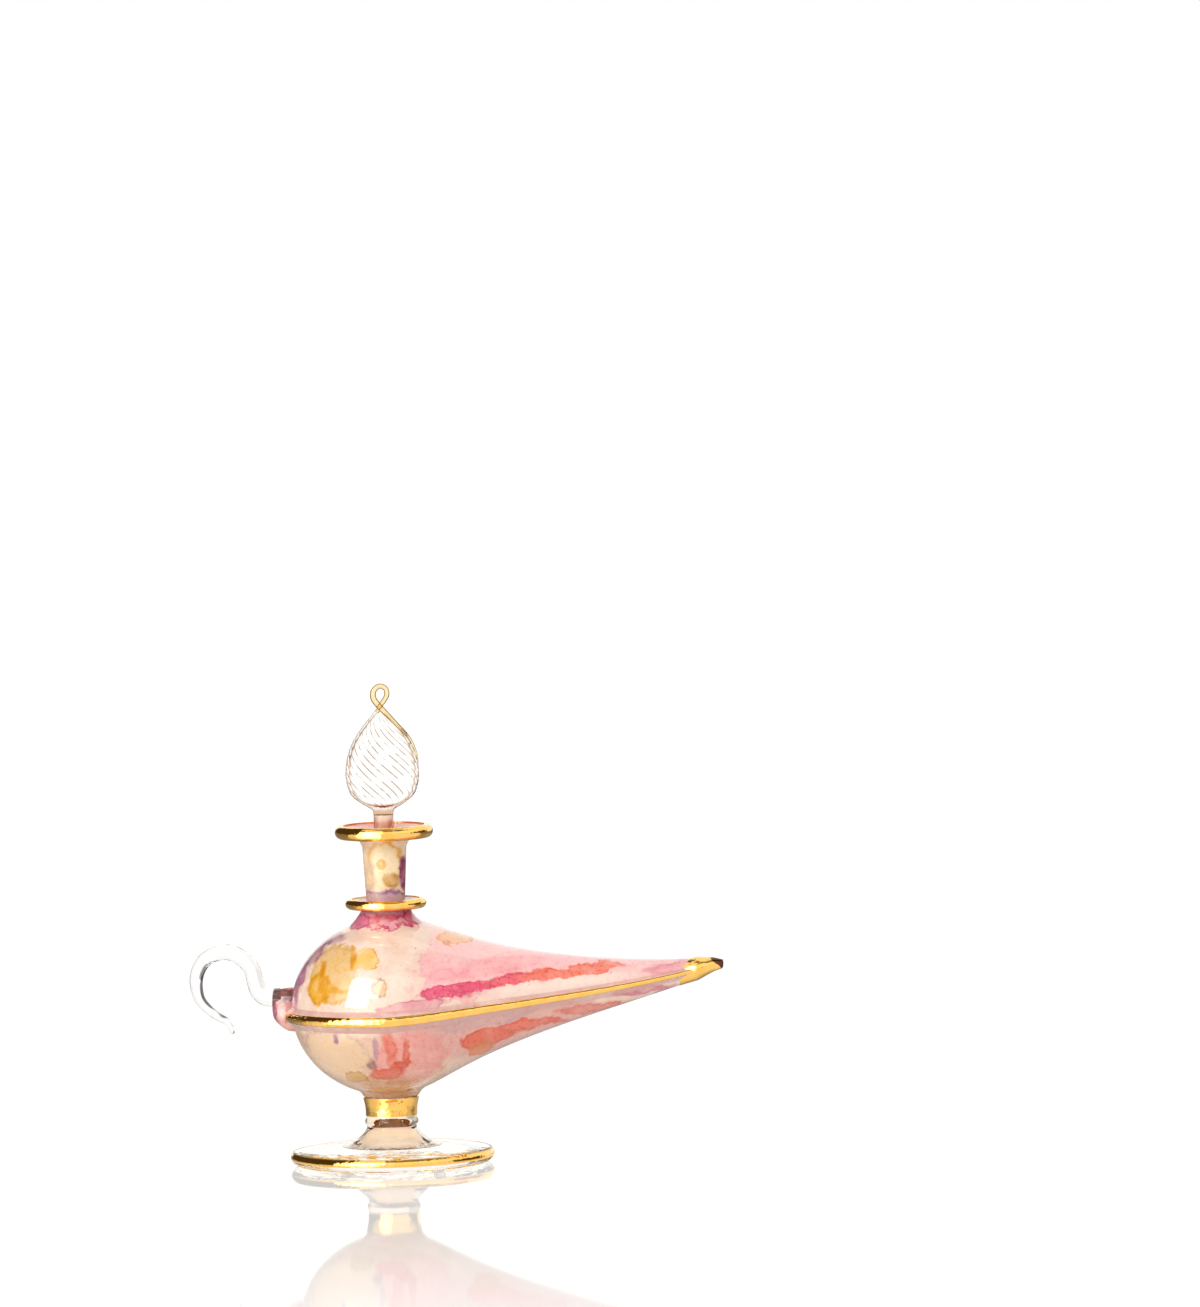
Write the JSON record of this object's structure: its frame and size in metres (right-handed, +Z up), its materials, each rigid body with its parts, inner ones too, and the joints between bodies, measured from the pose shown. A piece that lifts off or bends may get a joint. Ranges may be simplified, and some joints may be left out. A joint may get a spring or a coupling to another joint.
{
  "type": "scent bottle",
  "caption": "Lamp-shaped blown glass scent bottle on a round foot, with a long spout, hooked handle, gilded rims and a lift-out flame stopper with a dipper rod.",
  "frame": {"origin": "centre of the flat underside of the foot, on the table, under the neck axis", "axes": "+X from the handle towards the spout, +Z up the neck, so the picture looks along +Y"},
  "size_m": [0.1306, 0.05, 0.1175],
  "materials": {
    "clear_glass": "clear, fire polished",
    "marbled_glass": "glossy, marbled with coloured inks",
    "gold": "bright fired gold",
    "tinted_glass": "glossy, pink brown tint",
    "ground_glass": "ground, matt"
  },
  "bodies": {
    "bottle": {"foot": "clear_glass", "foot_gilding": "gold", "stem_gilding": "gold", "bowl": "marbled_glass", "rib_right": "clear_glass", "rib_left": "clear_glass", "rib_gilding_right": "gold", "rib_gilding_left": "gold", "tip_gilding": "gold", "neck_tube": "marbled_glass", "lip_gilding": "gold", "collar_ring": "clear_glass", "collar_gilding": "gold", "handle_lug": "tinted_glass", "handle_hook": "clear_glass"},
    "stopper": {"stopper_finial": "clear_glass", "finial_loop": "clear_glass", "stopper_plug": "ground_glass", "dipper_rod": "clear_glass"}
  },
  "joints": [
    {"name": "stopper_lift", "type": "slide", "parent": "bottle", "child": "stopper", "axis": [0, 0, 1], "range_m": [0, 0.045]}
  ]
}
